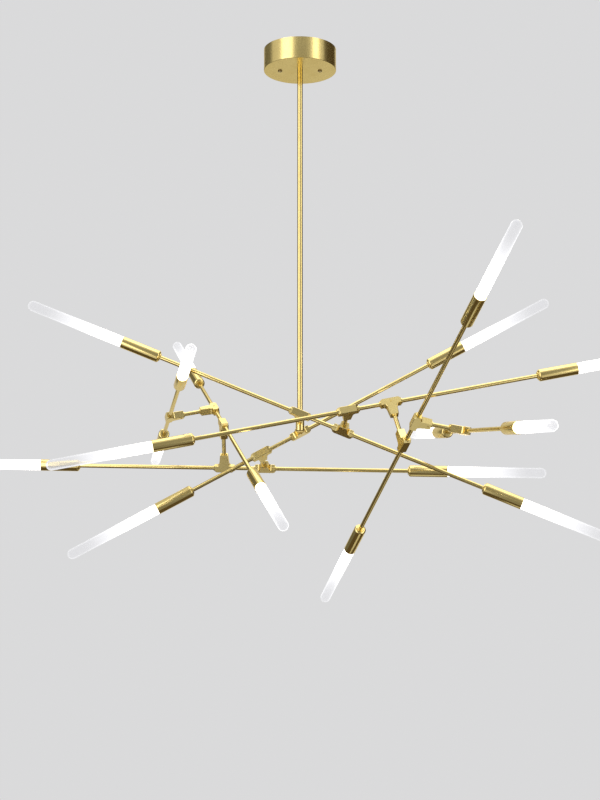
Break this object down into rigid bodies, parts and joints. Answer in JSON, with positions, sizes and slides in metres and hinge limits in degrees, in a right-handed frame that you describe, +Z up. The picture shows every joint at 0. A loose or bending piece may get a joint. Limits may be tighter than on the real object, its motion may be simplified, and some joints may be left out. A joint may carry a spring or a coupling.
{
  "type": "sputnik chandelier",
  "caption": "Ceiling chandelier: a canopy and stem carry straight brass arms that swivel on short links, with a glowing glass tube lamp at each end.",
  "frame": {"origin": "on the ceiling, on the axis of the stem", "axes": "+Z up, out of the ceiling face of the canopy; the link through the hub lies along Y"},
  "size_m": [1.2564, 1.2164, 0.9432],
  "materials": {
    "brass_screw": "satin turned head",
    "bulb": "warm white, lit",
    "cup_brass": "satin, turned",
    "frosted_glass": "frosted near the mouth, clear at the tip",
    "satin_brass": "satin brushed, lengthwise grain",
    "steel": "zinc plated",
    "tee_brass": "satin, machined flats with crisp edges",
    "tube_brass": "satin drawn tube, fine lengthwise grain"
  },
  "bodies": {
    "ceiling_mount": {"ceiling_crossbar": "steel", "canopy": "satin_brass", "cover_screws": "brass_screw", "hanging_nipple": "steel", "nipple_locknut": "steel", "stem_pipe": "tube_brass", "hub": "tee_brass", "link_hub": "tube_brass"},
    "arm_a": {"rod_a": "tube_brass", "cups_a": "cup_brass", "glass_tubes_a": "frosted_glass", "bulbs_a": "bulb", "tee_a_hub": "tee_brass", "tee_a_b": "tee_brass", "link_a_b": "tube_brass"},
    "arm_b": {"rod_b": "tube_brass", "cups_b": "cup_brass", "glass_tubes_b": "frosted_glass", "bulbs_b": "bulb", "tee_b_a": "tee_brass", "tee_b_e": "tee_brass", "link_b_e": "tube_brass"},
    "arm_e": {"rod_e": "tube_brass", "cups_e": "cup_brass", "glass_tubes_e": "frosted_glass", "bulbs_e": "bulb", "tee_e_b": "tee_brass", "tee_e_h": "tee_brass", "link_e_h": "tube_brass"},
    "arm_h": {"rod_h": "tube_brass", "cups_h": "cup_brass", "glass_tubes_h": "frosted_glass", "bulbs_h": "bulb", "tee_h_e": "tee_brass"},
    "arm_c": {"rod_c": "tube_brass", "cups_c": "cup_brass", "glass_tubes_c": "frosted_glass", "bulbs_c": "bulb", "tee_c_hub": "tee_brass", "tee_c_d": "tee_brass", "link_c_d": "tube_brass"},
    "arm_d": {"rod_d": "tube_brass", "cups_d": "cup_brass", "glass_tubes_d": "frosted_glass", "bulbs_d": "bulb", "tee_d_c": "tee_brass", "tee_d_f": "tee_brass", "link_d_f": "tube_brass"},
    "arm_f": {"rod_f": "tube_brass", "cups_f": "cup_brass", "glass_tubes_f": "frosted_glass", "bulbs_f": "bulb", "tee_f_d": "tee_brass", "tee_f_g": "tee_brass", "link_f_g": "tube_brass"},
    "arm_g": {"rod_g": "tube_brass", "cups_g": "cup_brass", "glass_tubes_g": "frosted_glass", "bulbs_g": "bulb", "tee_g_f": "tee_brass"}
  },
  "joints": [
    {"name": "swivel_a", "type": "hinge", "parent": "ceiling_mount", "child": "arm_a", "pos_m": [0, -0.055, -0.675], "axis": [0, -1, 0], "range_deg": [-4, 0.5]},
    {"name": "swivel_b", "type": "hinge", "parent": "arm_a", "child": "arm_b", "pos_m": [0.07639, -0.13544, -0.69179], "axis": [0.0861, -0.9744, 0.2078], "range_deg": [-4, 3]},
    {"name": "swivel_e", "type": "hinge", "parent": "arm_b", "child": "arm_e", "pos_m": [0.16277, -0.16633, -0.72797], "axis": [0.2431, -0.3251, -0.9139], "range_deg": [-14, 22]},
    {"name": "swivel_h", "type": "hinge", "parent": "arm_e", "child": "arm_h", "pos_m": [0.24318, -0.21792, -0.73071], "axis": [0.9671, 0.2133, -0.1386], "range_deg": [-8, 12]},
    {"name": "swivel_c", "type": "hinge", "parent": "ceiling_mount", "child": "arm_c", "pos_m": [0, 0.055, -0.675], "axis": [0, 1, 0], "range_deg": [-4, 0.5]},
    {"name": "swivel_d", "type": "hinge", "parent": "arm_c", "child": "arm_d", "pos_m": [-0.06274, 0.13641, -0.71872], "axis": [0.0664, 0.9903, -0.1223], "range_deg": [-5, 0.5]},
    {"name": "swivel_f", "type": "hinge", "parent": "arm_d", "child": "arm_f", "pos_m": [-0.13388, 0.12951, -0.66765], "axis": [-0.0122, -0.5374, 0.8433], "range_deg": [-16, 3]},
    {"name": "swivel_g", "type": "hinge", "parent": "arm_f", "child": "arm_g", "pos_m": [-0.21183, 0.17758, -0.62018], "axis": [-0.9681, -0.133, -0.2124], "range_deg": [-8, 1]}
  ]
}
